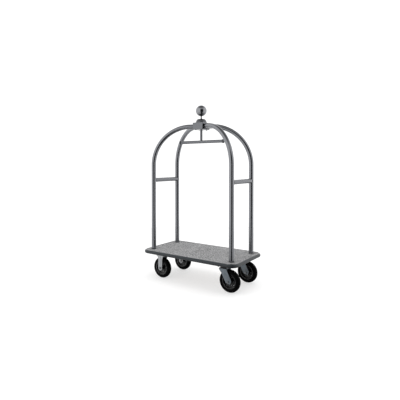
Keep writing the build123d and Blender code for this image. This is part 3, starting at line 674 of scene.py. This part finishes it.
def edgeDrop(inset, rounding):
    edge = max(0.0, min(inset, rounding))
    return rounding - math.sqrt(max(0.0, rounding ** 2 - (rounding - edge) ** 2))


def carpetPoint(x, y, half, hole, look):
    # Where a grid point lies on the carpet, or None where the carpet has no point.
    step = look["step"]
    inset = roundedInset(x, y, half, look["corner"])
    if inset < -step * look["snapOut"]:
        return None
    if inset < 0:
        x, y = slideToCorner(x, y, half, look["corner"])
    postX, postY = math.copysign(post[0], x), math.copysign(post[1], y)
    away = math.hypot(x - postX, y - postY)
    if away < hole - step * look["snapIn"]:
        return None
    if away < hole + step * look["snapOnto"]:
        x = postX + (x - postX) * hole / away
        y = postY + (y - postY) * hole / away
    drop = edgeDrop(roundedInset(x, y, half, look["corner"]), look["edgeRound"])
    tuft = look["pile"] * (random.random() - look["tallest"])
    wavePlace = Vector((x * look["waveScale"], y * look["waveScale"], look["waveLayer"]))
    wave = look["wave"] * noise.noise(wavePlace)
    return x, y, min(0.0, tuft + wave) - drop


def placePiece(name, mesh, finish):
    # Turn finished mesh work into a smooth object with one finish.
    bmesh.ops.recalc_face_normals(mesh, faces=mesh.faces)
    data = bpy.data.meshes.new(name)
    mesh.to_mesh(data)
    mesh.free()
    for face in data.polygons:
        face.use_smooth = True
    data.materials.append(finishes[finish])
    piece = bpy.data.objects.new(name, data)
    bpy.context.collection.objects.link(piece)
    return piece


def buildCarpet(box, look):
    low, high = box
    half = ((high.x - low.x) / 2, (high.y - low.y) / 2)
    hole = grommetRadius + look["holeGap"]
    mesh = bmesh.new()
    columns = int(2 * half[0] / look["step"])
    rows = int(2 * half[1] / look["step"])
    random.seed(look["seed"])
    grid = {}
    for i in range(columns + 1):
        for j in range(rows + 1):
            x = -half[0] + 2 * half[0] * i / columns
            y = -half[1] + 2 * half[1] * j / rows
            point = carpetPoint(x, y, half, hole, look)
            if point:
                grid[i, j] = mesh.verts.new((point[0], point[1], high.z + point[2]))
    for i in range(columns):
        for j in range(rows):
            corners = [grid.get(key) for key in ((i, j), (i + 1, j), (i + 1, j + 1), (i, j + 1))]
            corners = [corner for corner in corners if corner is not None]
            if len(corners) >= 3:
                mesh.faces.new(corners)
    loose = [vert for vert in mesh.verts if not vert.link_faces]
    bmesh.ops.delete(mesh, geom=loose, context="VERTS")
    rim = [edge for edge in mesh.edges if edge.is_boundary]
    skirt = bmesh.ops.extrude_edge_only(mesh, edges=rim)["geom"]
    for item in skirt:
        if isinstance(item, bmesh.types.BMVert):
            item.co.z = low.z
    backing = [edge for edge in mesh.edges if edge.is_boundary]
    bmesh.ops.triangle_fill(mesh, edges=backing, use_beauty=False)
    return placePiece("carpet_pile", mesh, "carpet"), 2 * half[0], 2 * half[1]


carpet, carpetLength, carpetWidth = buildCarpet(carpetBox, carpetLook)
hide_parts("carpet")
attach(carpet, "cart_frame")
print("carpet laid")


# Weld beads where each crossbar meets its posts, following the saddle that the two tubes make

weldLook = {"bead": 0.0019, "ripple": 0.16, "ripples": 46, "around": 184, "section": 10}


def buildWeld(name, endSign, sideSign, look):
    low, high = crossbar
    barRadius = (high.x - low.x) / 2
    middle = (low.z + high.z) / 2
    mesh = bmesh.new()
    rings = []
    for i in range(look["around"]):
        turn = 2 * math.pi * i / look["around"]
        across = barRadius * math.cos(turn)
        reach = math.sqrt(tubeRadius ** 2 - across ** 2)
        height = middle + barRadius * math.sin(turn)
        centre = Vector((endSign * post[0] + across, sideSign * (post[1] - reach), height))
        outward = Vector((math.cos(turn), 0.0, math.sin(turn)))
        offPost = Vector((across / tubeRadius, -sideSign * reach / tubeRadius, 0.0))
        size = look["bead"] * (1 + look["ripple"] * math.sin(look["ripples"] * turn))
        ring = []
        for j in range(look["section"]):
            swing = 2 * math.pi * j / look["section"]
            offset = outward * math.cos(swing) + offPost * math.sin(swing)
            ring.append(mesh.verts.new(centre + size * offset))
        rings.append(ring)
    for i, ring in enumerate(rings):
        following = rings[(i + 1) % len(rings)]
        for j in range(look["section"]):
            k = (j + 1) % look["section"]
            mesh.faces.new((ring[j], ring[k], following[k], following[j]))
    return placePiece(name, mesh, "weld")


for end, endSign in ends.items():
    for side, sideSign in sides.items():
        weld = buildWeld(f"weld_bead_{end}_{side}", endSign, sideSign, weldLook)
        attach(weld, "cart_frame")
print("weld beads laid")


# Stage, light and camera

view = {
    "turn": 34.25,
    "distance": 3.594,
    "sideways": -0.0123,
    "height": 1.1312,
    "tiltDown": 0.92,
    "lens": 32.94,
    "shiftY": -0.0744,
    "sensor": 36.0,
    "farthest": 60.0,
}


def placeCamera(look):
    turn, tilt = math.radians(look["turn"]), math.radians(look["tiltDown"])
    right = Vector((math.cos(turn), math.sin(turn), 0.0))
    ahead = Vector((-math.sin(turn), math.cos(turn), 0.0))
    data = bpy.data.cameras.new("camera")
    camera = bpy.data.objects.new("camera", data)
    bpy.context.collection.objects.link(camera)
    aim = ahead * math.cos(tilt) - Vector((0.0, 0.0, math.sin(tilt)))
    up = right.cross(aim)
    stand = -ahead * look["distance"] + right * look["sideways"] + Vector((0, 0, look["height"]))
    facing = Matrix((right, up, -aim)).transposed().to_4x4()
    camera.matrix_world = Matrix.Translation(stand) @ facing
    data.sensor_width = look["sensor"]
    data.lens = look["lens"]
    data.shift_y = look["shiftY"]
    data.clip_end = look["farthest"]
    bpy.context.scene.camera = camera


placeCamera(view)

# A pale floor. Reflections see it less bright, with a painted dark patch on the viewer's side of the cart
# that only reflections see: painted shade in the cart's reflections.
stageLook = {
    "floor": (0.46, 0.46, 0.46),
    "shadeDip": 0.985,
    "speckle": (3.0, 3.0, 0.5),  # scale, detail, roughness
    "lift": (0.60, 0.60, 0.60),
    "bounce": (0.74, 0.74, 0.745),
    "reflectedShade": (0.012, 0.012, 0.013),
    "reflectedShadeStart": (0.42, 0.85),
    "reflectedShadeSide": (0.5, 1.0),
    "reflectedShadeShift": 0.22,
    "radius": 3.1,
    "edges": 96,
    "shader": {"Emission Strength": 1.0, "Roughness": 0.95, "Specular IOR Level": 0.1},
}


# Painted shade: the dark patch on the floor that only reflections see, on the viewer's side of the cart.
def reflectedShadeMask(tree, place, look):
    turn = math.radians(view["turn"])
    towards = vectorNode(tree, "DOT_PRODUCT", place, (math.sin(turn), -math.cos(turn), 0.0))
    sideways = vectorNode(tree, "DOT_PRODUCT", place, (math.cos(turn), math.sin(turn), 0.0))
    ahead = mapRange(tree, towards, *look["reflectedShadeStart"])
    offset = mathNode(tree, "ABSOLUTE", mathNode(tree, "SUBTRACT", sideways, look["reflectedShadeShift"]))
    return mathNode(tree, "MULTIPLY", ahead, mapRange(tree, offset, *look["reflectedShadeSide"], 1.0, 0.0))


def buildFloor(look):
    disc = bmesh.new()
    bmesh.ops.create_circle(disc, cap_ends=True, segments=look["edges"], radius=look["radius"])
    mesh = bpy.data.meshes.new("floor")
    disc.to_mesh(mesh)
    disc.free()
    floor = bpy.data.objects.new("floor", mesh)
    bpy.context.collection.objects.link(floor)
    material, tree, shader = newMaterial("pale floor")
    place = objectPlace(tree)
    speckle = noiseTexture(tree, place, *look["speckle"])
    # Rays other than the camera's see the floor darker, and nearly black in the painted dark patch for
    # shade in reflections.
    reflected = mixColour(tree, reflectedShadeMask(tree, place, look), look["bounce"], look["reflectedShade"])
    seen = addNode(tree, "ShaderNodeLightPath").outputs["Is Camera Ray"]
    swept = mixColour(tree, speckle, look["floor"], scaled(look["floor"], look["shadeDip"]))
    tree.links.new(mixColour(tree, seen, reflected, swept), shader.inputs["Base Color"])
    tree.links.new(mixColour(tree, seen, (0.0, 0.0, 0.0), look["lift"]), shader.inputs["Emission Color"])
    setInputs(shader, look["shader"])
    mesh.materials.append(material)


buildFloor(stageLook)

# The strip stands low on the left and lights only the wheel rims, to draw a bright arc on their lips.
lamps = {
    "key": {
        "place": (-2.2, -3.6, 3.6), "aim": (0, 0, 0.7), "size": (2.4, 2.4),
        "power": 20, "mirrored": False,
    },
    "overhead": {
        "place": (0.2, 0.2, 5.0), "aim": (0, 0, 0.5), "size": (5.0, 5.0),
        "power": 150, "mirrored": False,
    },
    "rim strip": {
        "place": (-2.6, -2.2, 0.5), "aim": (0, -0.2, 0.1), "size": (1.6, 1.6),
        "power": 800, "mirrored": True, "only": ("rim_left", "rim_right"),
    },
}


def softLight(name, look):
    data = bpy.data.lights.new(name, "AREA")
    data.shape = "RECTANGLE"
    data.size, data.size_y = look["size"]
    data.energy = look["power"]
    light = bpy.data.objects.new(name, data)
    bpy.context.collection.objects.link(light)
    light.location = look["place"]
    aim = Vector(look["aim"]) - Vector(look["place"])
    light.rotation_euler = aim.to_track_quat("-Z", "Y").to_euler()
    light.visible_glossy = look["mirrored"]
    if "only" in look:
        lit = bpy.data.collections.new(name)
        for nodeName, node in nodes.items():
            if nodeName.startswith(look["only"]):
                lit.objects.link(node)
        light.light_linking.receiver_collection = lit


for lampName, lamp in lamps.items():
    softLight(lampName, lamp)

studio = {
    "strength": 1.2,
    "wall": (1.0, 1.0, 1.0),
    "bandTurn": 12.0,
    "bandEdges": (0.76, 0.92),
    "bandShade": (0.015, 0.016, 0.018),
    "bandTop": (0.35, 0.7),
    "bandFade": 0.35,
    "ceilingStart": 0.62,
    "ceilingFull": 0.92,
    "ceilingDim": 0.78,
}


def buildWorld(look):
    # White walls with one dark curtain on the viewer's side, which draws the dark line down every tube.
    world = bpy.data.worlds.new("studio")
    bpy.context.scene.world = world
    world.use_nodes = True
    tree = world.node_tree
    background = tree.nodes["Background"]
    direction = addNode(tree, "ShaderNodeTexCoord").outputs["Generated"]
    compass = vectorNode(tree, "NORMALIZE", vectorNode(tree, "MULTIPLY", direction, (1.0, 1.0, 0.0)))
    turn = math.radians(view["turn"] + look["bandTurn"])
    towards = vectorNode(tree, "DOT_PRODUCT", compass, (math.sin(turn), -math.cos(turn), 0.0))
    height = splitAxes(tree, direction)["Z"]
    ceiling = mapRange(tree, height, look["ceilingStart"], look["ceilingFull"], 0.0, look["ceilingDim"])
    band = mapRange(tree, towards, *look["bandEdges"])
    hung = mapRange(tree, height, *look["bandTop"], 1.0, look["bandFade"])
    dim = mathNode(tree, "MAXIMUM", mathNode(tree, "MULTIPLY", band, hung), ceiling)
    seen = addNode(tree, "ShaderNodeLightPath").outputs["Is Camera Ray"]
    curtain = mathNode(tree, "MULTIPLY", dim, mathNode(tree, "SUBTRACT", 1.0, seen))
    tree.links.new(mixColour(tree, curtain, look["wall"], look["bandShade"]), background.inputs["Color"])
    background.inputs["Strength"].default_value = look["strength"]


buildWorld(studio)
bpy.context.scene.view_settings.view_transform = "Standard"
print("stage, light and camera set")
